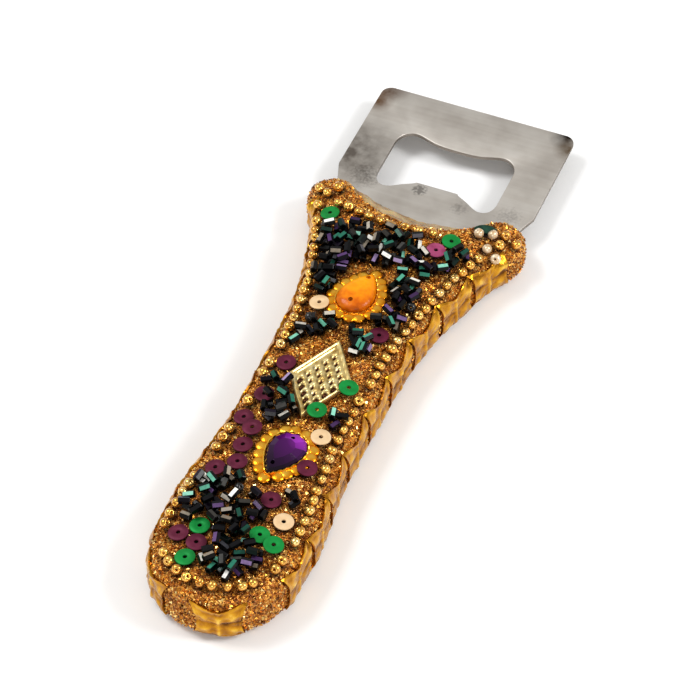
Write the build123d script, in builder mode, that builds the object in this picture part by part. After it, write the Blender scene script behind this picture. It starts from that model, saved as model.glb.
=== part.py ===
from build123d import *

import os
from math import atan2, cos, degrees, radians, sin, sqrt
from random import Random

# Souvenir bottle opener: a steel cap lifter bedded in a lac-coated, bead-dressed handle.
# Frame: millimetres, +Y towards the steel head, +X across, +Z up, origin under the middle on the
# flat the handle rests on. Everything on the handle sits on its crowned top or on its side wall.

# Opener plate
plate_width = 44.0
plate_tip_y = 75.0
plate_thickness = 0.9
plate_bottom_z = 4.4
plate_corner_radius = 2.3
cheek_bottom_y = 48.7          # straight sides end here and the lower corners are cut
neck_half_width = 20.5
neck_y = 44.4
shoulder_half_width = 17.5
shoulder_y = 35.0
tang_half_width = 7.5
tang_end_y = -15.0
keying_hole_radius = 2.2
keying_hole_ys = (18.0, 4.0, -8.5)

# Cap slot in the plate
slot_half_width = 13.4
slot_crest_y = 63.2            # upper corners of the slot
slot_sag_y = 61.6              # middle of the slot's upper edge
slot_lobe_y = 46.2             # lowest point of the two side lobes
lip_y = 49.5                   # edge that catches the cap
lip_half_width = 4.8

# Handle
butt_y = -74.7
butt_radius = 14.5
horn_centre = (18.8, 37.8)
horn_radius = 5.5
throat_y = 33.4
flank_points = ((22.0, 32.6), (19.1, 26.0), (16.3, 17.2), (13.8, 4.0), (13.0, -11.0), (13.1, -33.4),
                (14.3, -44.4), (14.85, -53.0))
flank_spans = 12
crown_z = 11.6                 # height of the handle along its middle
crown_radius = 80.0
edge_radius = 2.6
coat_thickness = 1.0
tang_clearance = 0.3

# Cement fillet where the plate leaves the handle
ramp_foot_y = 38.6
ramp_top_y = 33.0
ramp_height = 3.6
ramp_end = (16.5, 42.8)

# Rim beads
rim_bead_pitch = 2.66
seed_bead_radius = 0.98
seed_bead_height = 1.35
seed_bead_bore = 0.4

# Loose trim
tube_length = 2.3
tube_radius = 0.70
tube_bore = 0.33
sequin_radius = 2.0
sequin_bore = 0.45
sequin_thickness = 0.25
marquise_length = 5.0
marquise_width = 2.2

# Glass drops and their foil settings
drop_length = 11.6
drop_width = 7.4
drop_girdle = 1.0
drop_crown = 1.1
drop_taper = 38.0
drop_point_margin = 1.6        # how much faster a grown pear outline reaches out at its point
sew_hole_radius = 0.45
setting_margin = 1.0
setting_thickness = 0.5
scallop_radius = 1.0
scallop_count = 18

# Embossed lozenge
lozenge_centre = (0.95, -15.5)
lozenge_long = (-0.45, 10.65)
lozenge_short = (5.95, 1.1)
lozenge_thickness = 1.1
lozenge_dimples = 5
dimple_radius = 0.55
dimple_depth = 0.5

# Foil butterflies
foil_thickness = 0.3
foil_pitch = 10.9
foil_first_edge = 5.1          # arc length from the horn's widest point to the first foil
foils_per_side = 9
butt_foil_angles = (-70.0, -137.0)

throat_rise = horn_centre[1] - throat_y
throat_radius = ((horn_centre[0] ** 2 + throat_rise ** 2 - horn_radius ** 2)
                 / (2 * (horn_radius + throat_rise)))
throat_centre = (0.0, throat_y + throat_radius)
horn_angle = degrees(atan2(horn_centre[1] - throat_centre[1], horn_centre[0]))
plate_top_z = plate_bottom_z + plate_thickness
crown_centre_z = crown_z - crown_radius


def save(part, name):
    """Label a finished piece and write its STEP file."""
    part.label = name
    export_step(part, f"parts/{name}.step")


# One side of the handle, from the horn's widest point down to the start of the round butt
flank_start = (horn_centre[0] + horn_radius, horn_centre[1])
flank_end = (butt_radius, butt_y + butt_radius)
with BuildLine() as flank:
    Spline(flank_start, *flank_points, flank_end, tangents=[(0, -1), (0, -1)])
flank_edge = flank.edges()[0]


def outward(along):
    """Outward normal of the right-hand outline, walked from the horn towards the butt."""
    return Vector(-along.Y, along.X).normalized()


def handle_outline(grow):
    """Plan of the handle, grown outwards by a distance, or shrunk by a negative one."""
    steps = [i / flank_spans for i in range(flank_spans + 1)]
    flank_grown = [flank_edge @ t + outward(flank_edge % t) * grow for t in steps]
    with BuildSketch() as plan:
        with BuildLine():
            CenterArc(throat_centre, throat_radius - grow, -90, 90 + horn_angle)
            CenterArc(horn_centre, horn_radius + grow, 180 + horn_angle, -180 - horn_angle)
            Spline(*flank_grown, tangents=[(0, -1), (0, -1)])
            CenterArc((0, butt_y + butt_radius), butt_radius + grow, 0, -90)
            mirror(about=Plane.YZ)
        make_face()
    return plan.sketch


def handle_body(grow):
    """The handle as a solid with a flat back, crowned top and rounded edges."""
    span = 60.0
    edge_z = crown_centre_z + sqrt((crown_radius + grow) ** 2 - (span / 2) ** 2)
    plan = handle_outline(grow)
    with BuildPart() as body:
        with BuildSketch(Plane.XY.offset(-grow)):
            add(plan)
        extrude(amount=crown_z + 2 * grow + 1)
        with BuildSketch(Plane.XZ) as section:
            with BuildLine():
                Polyline((-span / 2, edge_z), (-span / 2, -grow), (span / 2, -grow), (span / 2, edge_z))
                ThreePointArc((-span / 2, edge_z), (0, crown_z + grow), (span / 2, edge_z))
            make_face()
        extrude(section.sketch, amount=100, both=True, mode=Mode.INTERSECT)
        top = body.faces().sort_by(Axis.Z)[-1]
        back = body.faces().sort_by(Axis.Z)[0]
        fillet(top.edges() + back.edges(), radius=edge_radius + grow)
    return body.part


def plate_outline(grow):
    """Blade, shoulders and tang of the plate, without its slot and holes."""
    with BuildSketch() as plan:
        with BuildLine():
            Polyline((0, plate_tip_y), (plate_width / 2, plate_tip_y), (plate_width / 2, cheek_bottom_y),
                     (neck_half_width, neck_y), (shoulder_half_width, shoulder_y),
                     (tang_half_width, shoulder_y - 6), (tang_half_width, tang_end_y),
                     (0, tang_end_y))
            mirror(about=Plane.YZ)
        make_face()
        corners = plan.vertices()
        fillet(corners.group_by(Axis.Y)[-1], radius=plate_corner_radius)
        fillet(corners.group_by(Axis.Y)[0], radius=tang_half_width - 1)
        if grow:
            offset(amount=grow)
    return plan.sketch


def seat(x, y, lift=0.0, turn=0.0, tilt=0.0):
    """Place on the crowned top: the local Z stands on the surface, turned about it and tilted."""
    lean = x / crown_radius
    upright = sqrt(1 - lean ** 2)
    foot = Vector(x, y, crown_centre_z + crown_radius * upright)
    normal = Vector(lean, 0, upright)
    plane = Plane(foot + normal * lift, x_dir=(upright, 0, -lean), z_dir=normal)
    return plane.location * Location((0, 0, 0), (0, 0, turn)) * Location((0, 0, 0), (0, tilt, 0))


# Opener plate: one stamping with the cap slot in its blade and keying holes in its tang
plate_blank = plate_outline(0)
with BuildPart() as opener_plate:
    with BuildSketch(Plane.XY.offset(plate_bottom_z)):
        add(plate_blank)
        with BuildLine():
            Spline((0, slot_sag_y), (6.0, slot_sag_y + 0.6), (10.6, slot_crest_y), (slot_half_width, 59.6),
                   tangents=[(1, 0), (0.1, -1)])
            Line((slot_half_width, 59.6), (slot_half_width, 50.0))
            Spline((slot_half_width, 50.0), (10.2, slot_lobe_y), (7.0, 48.0), (lip_half_width, lip_y - 0.25),
                   (3.0, lip_y), tangents=[(0, -1), (-1, 0)])
            Line((3.0, lip_y), (0, lip_y))
            mirror(about=Plane.YZ)
        make_face(mode=Mode.SUBTRACT)
        with Locations([(0, y) for y in keying_hole_ys]):
            Circle(keying_hole_radius, mode=Mode.SUBTRACT)
    extrude(amount=plate_thickness)
save(opener_plate.part, "opener_plate")

# The handle in three nested bodies
coat_body = handle_body(0)
core_body = handle_body(-coat_thickness)
foil_body = handle_body(foil_thickness)

slot_blank = plate_outline(tang_clearance)
with BuildPart() as tang_slot:
    with BuildSketch(Plane.XY.offset(plate_bottom_z - tang_clearance)):
        add(slot_blank)
    extrude(amount=plate_thickness + 2 * tang_clearance)

# Wooden core, sawn to take the tang
with BuildPart() as handle_core:
    add(core_body)
    add(tang_slot.part, mode=Mode.SUBTRACT)
save(handle_core.part, "handle_core")

# Lac coat: a closed skin over the core, open only where the plate comes out
with BuildPart() as lac_coat:
    add(coat_body)
    add(core_body, mode=Mode.SUBTRACT)
    add(tang_slot.part, mode=Mode.SUBTRACT)
save(lac_coat.part, "lac_coat")


def ramp_plan(plane, front_y, end):
    """Plan of the cement fillet at one level, from inside the handle to its front arc."""
    with BuildSketch(plane) as plan:
        with BuildLine():
            ThreePointArc((-end[0], end[1]), (0, front_y), end)
            Polyline(end, (end[0], throat_y - 3), (-end[0], throat_y - 3), (-end[0], end[1]))
        make_face()
    return plan.sketch


# Cement: fills the slot and the tang's holes, and runs out as a fillet above and below the plate
ramp_top_end = (ramp_end[0] - 2, ramp_end[1] - 3.4)
ramps = []
for side, level in ((1, plate_top_z), (-1, plate_bottom_z)):
    foot = ramp_plan(Plane.XY.offset(level), ramp_foot_y, ramp_end)
    head = ramp_plan(Plane.XY.offset(level + side * ramp_height), ramp_top_y, ramp_top_end)
    ramps.append(loft([foot, head], ruled=True) - coat_body)
with BuildPart() as tang_cement:
    add(tang_slot.part)
    add(coat_body, mode=Mode.INTERSECT)
    add(ramps)
    add(opener_plate.part, mode=Mode.SUBTRACT)
save(tang_cement.part, "tang_cement")

# Loose trim, each made once in its own frame with its foot at Z = 0
with BuildPart() as seed_bead:
    wall = seed_bead_radius - seed_bead_bore
    with BuildSketch(Plane.XZ):
        with Locations((seed_bead_bore + wall / 2, seed_bead_height / 2)):
            RectangleRounded(wall, seed_bead_height, wall * 0.48)
    revolve(axis=Axis.Z)

with BuildPart() as glass_tube:
    with BuildSketch(Plane.YZ):
        with Locations((0, tube_radius + 0.02)):
            Circle(tube_radius)
            Circle(tube_bore, mode=Mode.SUBTRACT)
    extrude(amount=tube_length / 2, both=True)

with BuildPart() as sequin:
    Cylinder(sequin_radius, sequin_thickness, align=(Align.CENTER, Align.CENTER, Align.MIN))
    Hole(sequin_bore)

with BuildPart() as marquise:
    with BuildSketch():
        with BuildLine():
            ThreePointArc((-marquise_length / 2, 0), (0, marquise_width / 2), (marquise_length / 2, 0))
            mirror(about=Plane.XZ)
        make_face()
    extrude(amount=sequin_thickness)


# Footprints on the handle's plan, as convex outlines, so that no two pieces overlap
def disc_footprint(x, y, radius):
    """Regular outline round a disc."""
    reach = radius / cos(radians(15))
    return [(x + reach * cos(radians(a)), y + reach * sin(radians(a))) for a in range(0, 360, 30)]


def tube_footprint(x, y, turn):
    """Rectangle under a glass tube, with a hair of clearance."""
    along = (tube_length / 2 + 0.04) * Vector(cos(radians(turn)), sin(radians(turn)))
    across = (tube_radius + 0.04) * Vector(-sin(radians(turn)), cos(radians(turn)))
    corners = (along + across, across - along, -along - across, along - across)
    return [(x + corner.X, y + corner.Y) for corner in corners]


def apart(one, other):
    """True when some edge of either convex outline separates the two."""
    for outline in (one, other):
        for (ax, ay), (bx, by) in zip(outline, outline[1:] + outline[:1]):
            nx, ny = by - ay, ax - bx
            first = [nx * x + ny * y for x, y in one]
            second = [nx * x + ny * y for x, y in other]
            if max(first) < min(second) or max(second) < min(first):
                return True
    return False


def inside(x, y, patch):
    """True when a point lies within a closed patch of the plan."""
    crossings = 0
    for (ax, ay), (bx, by) in zip(patch, patch[1:] + patch[:1]):
        if (ay > y) != (by > y) and x < ax + (bx - ax) * (y - ay) / (by - ay):
            crossings += 1
    return crossings % 2 == 1


# Glass drops: pear-shaped stones, point along local +Y, round end centred on the origin
drop_point = drop_length - drop_width / 2


def drop_outline(margin):
    """Pear outline, grown by a margin."""
    radius = drop_width / 2 + margin
    point = drop_point + margin * drop_point_margin
    with BuildSketch() as plan:
        with BuildLine():
            CenterArc((0, 0), radius, -90, 90)
            Spline((radius, 0), (0, point), tangents=[(0, 1), (-0.55, 1)])
            mirror(about=Plane.YZ)
        make_face()
        fillet(plan.vertices().sort_by(Axis.Y)[-1], radius=0.5)
    return plan.sketch


stone_plan = drop_outline(0)
setting_plan = drop_outline(setting_margin)
with BuildPart() as glass_drop:
    with BuildSketch(Plane.XY.offset(setting_thickness)):
        add(stone_plan)
    extrude(amount=drop_girdle)
    extrude(glass_drop.faces().sort_by(Axis.Z)[-1], amount=drop_crown, taper=drop_taper)
    with Locations((0, -1.9, setting_thickness), (0, drop_point - 2.1, setting_thickness)):
        Hole(sew_hole_radius, mode=Mode.SUBTRACT)

with BuildPart() as drop_setting:
    rim = setting_plan.wires()[0]
    with BuildSketch():
        add(setting_plan)
        with Locations([rim @ (i / scallop_count) for i in range(scallop_count)]):
            Circle(scallop_radius)
    extrude(amount=setting_thickness)

amber_seat = seat(-1.0, 6.7, turn=-8)
violet_seat = seat(2.2, -34.5, turn=170)

for name, piece, place in (("amber_gem", glass_drop, amber_seat),
                           ("amber_gem_setting", drop_setting, amber_seat),
                           ("violet_gem", glass_drop, violet_seat),
                           ("violet_gem_setting", drop_setting, violet_seat)):
    save(piece.part.moved(place), name)

# Embossed lozenge with a field of round dimples inside a raised border
long_half = Vector(*lozenge_long)
short_half = Vector(*lozenge_short)
lozenge_corners = [long_half, short_half, -long_half, -short_half]
dimple_steps = [(2 * i / (lozenge_dimples - 1) - 1) * 0.36 for i in range(lozenge_dimples)]
with BuildPart() as lozenge_plate:
    with BuildSketch():
        with BuildLine():
            Polyline(*lozenge_corners, close=True)
        make_face()
        offset(amount=-0.5)
        offset(amount=0.5)
    extrude(amount=lozenge_thickness)
    with BuildSketch(Plane.XY.offset(lozenge_thickness)):
        with Locations([(long_half + short_half) * s + (long_half - short_half) * t
                        for s in dimple_steps for t in dimple_steps]):
            Circle(dimple_radius)
    extrude(amount=-dimple_depth, mode=Mode.SUBTRACT)
lozenge_place = seat(*lozenge_centre, lift=0.02)
save(lozenge_plate.part.moved(lozenge_place), "lozenge_plate")

# Sequins: round ones by colour, each as x, y on the handle's top and its height over the lac,
# where it overlaps a setting, the lozenge or another sequin
over_setting = setting_thickness + 0.3
over_lozenge = lozenge_thickness + 0.2
over_sequin = 0.65
sequin_places = {
    "green_sequins": ((-15.9, 29.5, 0), (10.5, 30.4, 0), (7.05, -16.2, over_lozenge),
                      (3.75, -24.1, over_lozenge), (5.6, -55.9, 0), (9.0, -57.4, over_sequin),
                      (-5.1, -66.1, 0), (-5.7, -58.1, 0)),
    "magenta_sequin": ((8.6, 26.6, 0),),
    "plum_sequins": ((6.9, 0.1, 0), (-7.2, -13.6, 0), (-7.9, -22.8, 0), (-9.2, -29.7, 0),
                     (-6.2, -32.3, over_sequin), (-6.4, -36.5, 0), (-5.6, -40.9, 0), (-9.0, -43.6, 0),
                     (7.5, -37.8, over_setting), (-8.8, -61.0, 0), (4.2, -47.3, 0), (-4.6, -62.1, 0)),
    "cream_sequins": ((-7.2, 3.3, over_setting), (6.9, -29.7, over_setting), (8.4, -51.1, 0)),
}
footprints = [disc_footprint(x, y, sequin_radius + 0.05) for group in sequin_places.values()
              for x, y, height in group]
footprints.append([(lozenge_centre[0] + c.X, lozenge_centre[1] + c.Y) for c in lozenge_corners])
stone_footprints = []
for place in (amber_seat, violet_seat):
    edge = drop_outline(setting_margin + scallop_radius).moved(place).wires()[0]
    stone_footprints.append([((edge @ (i / 24)).X, (edge @ (i / 24)).Y) for i in range(24)])
footprints += stone_footprints

sequin_tilts = Random(5)
for name, centres in sequin_places.items():
    seats = []
    for x, y, height in centres:
        tilt = sequin_tilts.uniform(-3, 3)
        lift = height + sequin_radius * sin(radians(abs(tilt))) + 0.02
        seats.append(seat(x, y, lift=lift, turn=sequin_tilts.uniform(-60, 60), tilt=tilt))
    with BuildPart() as sequins:
        with Locations(*seats):
            add(sequin.part)
    save(sequins.part, name)

with BuildPart() as marquise_sequin:
    with Locations(seat(15.4, 37.2, lift=0.02, turn=24)):
        add(marquise.part)
save(marquise_sequin.part, "marquise_sequin")


# Rim beads: one row inside the edge, broken only where a larger piece covers it
def bead_row(path):
    """Evenly spaced places along a wire, each with a little hand-laid unevenness."""
    count = round(path.length / rim_bead_pitch)
    wobble = Random(count)
    places = []
    for i in range(count):
        spot = path @ ((i + 0.5 + wobble.uniform(-0.06, 0.06)) / count)
        places.append((spot.X + wobble.uniform(-0.12, 0.12), spot.Y))
    return places


def free(outline, placed):
    """True when nothing placed so far touches an outline."""
    return all(apart(outline, other) for other in placed)


with BuildLine() as throat_path:
    Spline((-16.4, 32.9), (-12.5, 31.7), (-5.0, 29.7), (0, 29.4), (6.0, 30.2), (12.2, 33.0))
waist_points = ((9.9, -15.0), (9.9, -29.0), (10.7, -38.0), (11.7, -48.5), (12.0, -57.0), (11.0, -63.8))
with BuildLine() as right_path:
    Spline((16.9, 29.8), (16.3, 26.6), (15.0, 22.8), (13.3, 16.0), (11.8, 7.6), (10.4, -3.0),
           *waist_points)
with BuildLine() as left_path:
    Spline((-18.9, 32.4), (-18.3, 28.4), (-16.5, 23.6), (-13.7, 15.8), (-12.0, 9.4), (-10.3, -3.0),
           *[(-x, y) for x, y in waist_points])
with BuildLine() as butt_path:
    Spline((9.8, -65.8), (5.2, -69.8), (0.3, -71.0), (-4.8, -70.0), (-9.8, -65.8))

seed_places = {
    "pearl_beads": ((14.5, 35.0), (17.1, 36.2), (17.4, 32.0), (20.0, 30.3)),
    "horn_beads": ((19.4, 34.2), (19.6, 37.2), (22.1, 36.6), (-18.5, 35.0), (-16.9, 37.0),
                   (-20.7, 36.2)),
    "throat_rim_beads": bead_row(throat_path.wires()[0]),
    "right_rim_beads": bead_row(right_path.wires()[0]),
    "left_rim_beads": bead_row(left_path.wires()[0]),
    "butt_rim_beads": bead_row(butt_path.wires()[0]),
}
for name, centres in seed_places.items():
    seats = []
    for x, y in centres:
        outline = disc_footprint(x, y, seed_bead_radius)
        if free(outline, footprints):
            footprints.append(outline)
            seats.append(seat(x, y, lift=0.02))
    with BuildPart() as beads:
        with Locations(*seats):
            add(seed_bead.part)
    save(beads.part, name)

# Glass tubes: strewn over these patches of the top, as tightly as they will lie flat, with more
# piled on top where at least two others carry them
tube_patches = (
    ((-15.8, 25.5), (-11, 28.0), (-6, 28.2), (0, 27.2), (6, 27), (12, 29), (15.5, 28.5), (13.5, 22.5),
     (9.5, 18), (3, 17), (-3, 19), (-7, 16), (-12.5, 16)),
    ((-12.5, 17), (-6.5, 17), (-7.2, 9), (-6, 3), (-1.2, -2), (-4, -4.5), (-7, -7.5), (-10.4, -10),
     (-10, -1), (-11.2, 6)),
    ((3.7, 15.5), (10.5, 15.5), (11.7, 11), (9.5, 3), (8, 0), (4.6, 2), (4.7, 9)),
    ((0.8, -1.0), (4.5, -0.5), (6.8, -5), (5, -7.5), (2.2, -4.5)),
    ((-10, -20), (-6.5, -18), (-2.3, -19), (-0.3, -25.5), (-2, -29), (-8, -29), (-10, -25)),
    ((6.3, -22), (9.8, -23), (9.8, -26), (6.8, -25.5)),
    ((-10.8, -47), (-5, -43.8), (2, -44.8), (7.5, -43.8), (10.0, -46.5), (10.0, -50), (7, -53), (6.5, -58.5),
     (8.4, -61.5), (5.5, -67.5), (1, -68), (-4, -67), (-7.5, -63.5), (-10, -58), (-10.6, -52)),
)
tube_kinds = ("black_bugle_beads", "green_bugle_beads", "violet_bugle_beads", "silver_bugle_beads")
tube_shares = (4, 3, 3, 3)
ring_share = 0.09
bundle_share = 0.65            # tubes laid against one already there, the way they settle
tries_per_patch = 3600
tries_per_pile = 500
pile_lift = 2 * tube_radius + 0.1
pile_footprints = list(stone_footprints)
tube_seats = {kind: [] for kind in tube_kinds}
ring_seats = []
strew = Random(21)
for patch in tube_patches:
    xs = [x for x, y in patch]
    ys = [y for x, y in patch]
    laid = []
    for attempt in range(tries_per_patch):
        x = strew.uniform(min(xs), max(xs))
        y = strew.uniform(min(ys), max(ys))
        turn = strew.uniform(0, 180)
        if laid and strew.random() < bundle_share:
            x, y, turn = strew.choice(laid)
            beside = (2 * tube_radius + 0.12) * strew.choice((-1, 1))
            along = strew.uniform(-1.2, 1.2)
            x += along * cos(radians(turn)) - beside * sin(radians(turn))
            y += along * sin(radians(turn)) + beside * cos(radians(turn))
            turn += strew.gauss(0, 12)
        ring = strew.random() < ring_share
        kind = strew.choices(tube_kinds, tube_shares)[0]
        outline = disc_footprint(x, y, seed_bead_radius) if ring else tube_footprint(x, y, turn)
        if not inside(x, y, patch) or not free(outline, footprints):
            continue
        footprints.append(outline)
        if ring:
            ring_seats.append(seat(x, y, lift=0.02))
        else:
            laid.append((x, y, turn))
            tube_seats[kind].append(seat(x, y, turn=turn))
    for attempt in range(tries_per_pile):
        x = strew.uniform(min(xs), max(xs))
        y = strew.uniform(min(ys), max(ys))
        turn = strew.uniform(0, 180)
        kind = strew.choices(tube_kinds, tube_shares)[0]
        outline = tube_footprint(x, y, turn)
        carriers = sum(not apart(outline, tube_footprint(*spot)) for spot in laid)
        if carriers >= 2 and inside(x, y, patch) and free(outline, pile_footprints):
            pile_footprints.append(outline)
            tube_seats[kind].append(seat(x, y, lift=pile_lift, turn=turn))

with BuildPart() as ring_seed_beads:
    with Locations(*ring_seats):
        add(seed_bead.part)
save(ring_seed_beads.part, "ring_seed_beads")

for kind in tube_kinds:
    with BuildPart() as tubes:
        with Locations(*tube_seats[kind]):
            add(glass_tube.part)
    save(tubes.part, kind)


# Foil butterflies: pressed round the side wall, wing tips up
def butterfly_outline():
    """Spread wings with pointed upper tips, a waist and a straight lower edge."""
    with BuildSketch() as wings:
        with BuildLine():
            Polyline((0, 7.9), (1.0, 8.0), (2.2, 8.6), (5.15, 9.9))
            ThreePointArc((5.15, 9.9), (4.1, 4.9), (5.1, 0.9))
            Line((5.1, 0.9), (0, 0.9))
            mirror(about=Plane.YZ)
        make_face()
    return wings.sketch


def wing_prism(spot, facing):
    """Butterfly silhouette driven through the wall at a spot of the outline that faces outwards."""
    plane = Plane((spot.X, spot.Y, 0), x_dir=(-facing.Y, facing.X, 0), z_dir=(facing.X, facing.Y, 0))
    with BuildPart() as wings:
        with BuildSketch(plane):
            add(butterfly)
        extrude(amount=3, both=True)
    return wings.part


butterfly = butterfly_outline()
right_spots = []
for i in range(foils_per_side):
    reach = (foil_first_edge + foil_pitch * (i + 0.5)) / flank_edge.length
    right_spots.append((flank_edge @ reach, outward(flank_edge % reach)))
left_spots = [(Vector(-spot.X, spot.Y), Vector(-out.X, out.Y)) for spot, out in right_spots]
butt_spots = []
for angle in butt_foil_angles:
    out = Vector(cos(radians(angle)), sin(radians(angle)))
    butt_spots.append((Vector(0, butt_y + butt_radius) + out * butt_radius, out))

for name, spots in (("right_butterflies", right_spots), ("left_butterflies", left_spots),
                    ("butt_butterflies", butt_spots)):
    prisms = [wing_prism(spot, out) for spot, out in spots]
    with BuildPart() as foils:
        add(prisms)
        add(foil_body, mode=Mode.INTERSECT)
        add(coat_body, mode=Mode.SUBTRACT)
    save(foils.part, name)
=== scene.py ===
import math
import random

import bmesh
import bpy
import numpy as np
from mathutils import Matrix, Vector, noise
from mathutils.bvhtree import BVHTree
from mathutils.kdtree import KDTree


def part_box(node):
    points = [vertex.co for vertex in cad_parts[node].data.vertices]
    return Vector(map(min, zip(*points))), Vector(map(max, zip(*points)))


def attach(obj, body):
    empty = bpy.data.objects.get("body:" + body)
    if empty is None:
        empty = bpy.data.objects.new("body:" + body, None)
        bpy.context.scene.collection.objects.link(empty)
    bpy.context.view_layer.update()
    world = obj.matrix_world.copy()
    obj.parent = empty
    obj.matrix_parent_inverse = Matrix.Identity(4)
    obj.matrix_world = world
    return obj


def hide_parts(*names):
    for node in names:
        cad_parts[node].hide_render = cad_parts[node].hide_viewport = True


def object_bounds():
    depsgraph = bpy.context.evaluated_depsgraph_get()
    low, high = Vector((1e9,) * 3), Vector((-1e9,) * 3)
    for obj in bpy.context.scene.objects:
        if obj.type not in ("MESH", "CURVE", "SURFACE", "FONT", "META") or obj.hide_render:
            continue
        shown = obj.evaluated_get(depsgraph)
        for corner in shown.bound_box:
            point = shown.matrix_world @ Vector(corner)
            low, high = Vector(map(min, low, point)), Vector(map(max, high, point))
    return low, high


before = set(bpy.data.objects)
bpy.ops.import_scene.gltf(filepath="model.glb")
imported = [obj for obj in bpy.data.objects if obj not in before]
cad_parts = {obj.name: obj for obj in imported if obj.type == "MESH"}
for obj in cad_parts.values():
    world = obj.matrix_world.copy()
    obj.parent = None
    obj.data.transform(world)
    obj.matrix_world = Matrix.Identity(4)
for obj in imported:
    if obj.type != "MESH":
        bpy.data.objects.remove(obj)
cad_low, cad_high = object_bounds()
mm = 0.001

# Studio: the opener lies on a pale table under three softboxes, seen from above its butt end.
camera_azimuth = math.radians(22.5)
camera_elevation = math.radians(47.1)
camera_distance = 0.630
camera_aim = Vector((0.9, -0.4, 5.3)) * mm
lens_length = 162.0

looking_back = Vector((math.sin(camera_azimuth) * math.cos(camera_elevation),
                       -math.cos(camera_azimuth) * math.cos(camera_elevation),
                       math.sin(camera_elevation)))
camera = bpy.data.objects.new("camera", bpy.data.cameras.new("camera"))
camera.data.lens = lens_length
camera.data.clip_start = 0.01
camera.location = camera_aim + looking_back * camera_distance
camera.rotation_mode = "QUATERNION"
camera.rotation_quaternion = (-looking_back).to_track_quat("-Z", "Y")
bpy.context.scene.collection.objects.link(camera)
bpy.context.scene.camera = camera
bpy.context.scene.view_settings.view_transform = "Standard"

for light_name, place, width, power in (("key_softbox", (-0.42, -0.05, 0.62), 0.30, 2.9),
                                        ("side_softbox", (0.55, 0.10, 0.50), 0.24, 3.0),
                                        ("front_softbox", (0.30, -0.70, 0.40), 0.22, 1.2)):
    softbox = bpy.data.lights.new(light_name, "AREA")
    softbox.size = width
    softbox.energy = power
    lamp = bpy.data.objects.new(light_name, softbox)
    lamp.location = place
    lamp.rotation_mode = "QUATERNION"
    lamp.rotation_quaternion = (-Vector(place)).to_track_quat("-Z", "Y")
    bpy.context.scene.collection.objects.link(lamp)

surroundings = bpy.data.worlds.new("studio")
surroundings.use_nodes = True
surroundings.node_tree.nodes["Background"].inputs["Color"].default_value = (1.0, 0.99, 0.97, 1)
surroundings.node_tree.nodes["Background"].inputs["Strength"].default_value = 0.55
bpy.context.scene.world = surroundings

table_half = 1.5
table_mesh = bpy.data.meshes.new("table")
table_bm = bmesh.new()
bmesh.ops.create_grid(table_bm, x_segments=1, y_segments=1, size=table_half)
bmesh.ops.translate(table_bm, verts=table_bm.verts, vec=(0, 0, cad_low.z - 0.02 * mm))
table_bm.to_mesh(table_mesh)
table_bm.free()
table_paint = bpy.data.materials.new("table_paint")
table_paint.use_nodes = True
table_paint.node_tree.nodes["Principled BSDF"].inputs["Base Color"].default_value = (0.93, 0.93, 0.93, 1)
table_paint.node_tree.nodes["Principled BSDF"].inputs["Roughness"].default_value = 0.9
table_mesh.materials.append(table_paint)
table_top = bpy.data.objects.new("table", table_mesh)
bpy.context.scene.collection.objects.link(table_top)


# Opener plate: one blanking of thin stainless sheet with the cap slot cut through it.
# Its face is brushed, its edges are lightly broken, and its corners are brown from the torch.
def linear(red, green, blue):
    """A display colour, 0 to 255, as the linear values that a shader takes."""
    return tuple(((c / 255 + 0.055) / 1.055) ** 2.4 if c > 10 else c / 255 / 12.92 for c in (red, green, blue))


def new_finish(name, **sockets):
    """A material with its Principled shader's own sockets set."""
    finish = bpy.data.materials.new(name)
    finish.use_nodes = True
    shader = finish.node_tree.nodes["Principled BSDF"]
    for socket, value in sockets.items():
        shader.inputs[socket.replace("_", " ")].default_value = value
    return finish, finish.node_tree, shader


def node(tree, kind, *values, outlet=0, **settings):
    """Adds a shader node. Values fill its inputs in order, None leaves one, settings are its properties."""
    made = tree.nodes.new("ShaderNode" + kind)
    for key, value in settings.items():
        setattr(made, key, value)
    for socket, value in zip(made.inputs, values):
        if isinstance(value, bpy.types.NodeSocket):
            tree.links.new(value, socket)
        elif value is not None:
            socket.default_value = value
    return made.outputs[outlet]


def object_place(tree, stretch=(1, 1, 1)):
    """Object coordinates, stretched for grain that runs one way."""
    place = node(tree, "TexCoord", outlet=3)
    return node(tree, "Mapping", place, None, None, stretch)


def ramp(tree, factor, *stops):
    """Colours along a factor, as (place, colour) stops in order."""
    made = tree.nodes.new("ShaderNodeValToRGB")
    tree.links.new(factor, made.inputs[0])
    elements = made.color_ramp.elements
    elements[0].position, elements[0].color = stops[0][0], (*stops[0][1], 1)
    elements[1].position, elements[1].color = stops[-1][0], (*stops[-1][1], 1)
    for place, colour in stops[1:-1]:
        elements.new(place).color = (*colour, 1)
    return made.outputs[0]


def blend(tree, factor, first, second, how="MIX"):
    """Mixes two colours."""
    return node(tree, "Mix", factor, None, None, None, None, None, first, second,
                outlet=2, data_type="RGBA", blend_type=how)


def relief(tree, shader, height, depth):
    """Height as a bump of a given depth in metres."""
    made = tree.nodes.new("ShaderNodeBump")
    made.inputs["Distance"].default_value = depth
    tree.links.new(height, made.inputs["Height"])
    tree.links.new(made.outputs[0], shader.inputs["Normal"])


def near(tree, place, centre, reach):
    """1 at a point, falling to 0 at a distance."""
    away = node(tree, "VectorMath", place, centre, outlet=1, operation="DISTANCE")
    return node(tree, "MapRange", away, 0.0, reach, 1.0, 0.0)


def cad_copy(name):
    """A welded copy of a CAD node's mesh."""
    copy = bmesh.new()
    copy.from_mesh(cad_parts[name].data)
    bmesh.ops.remove_doubles(copy, verts=copy.verts, dist=0.001 * mm)
    return copy


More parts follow.
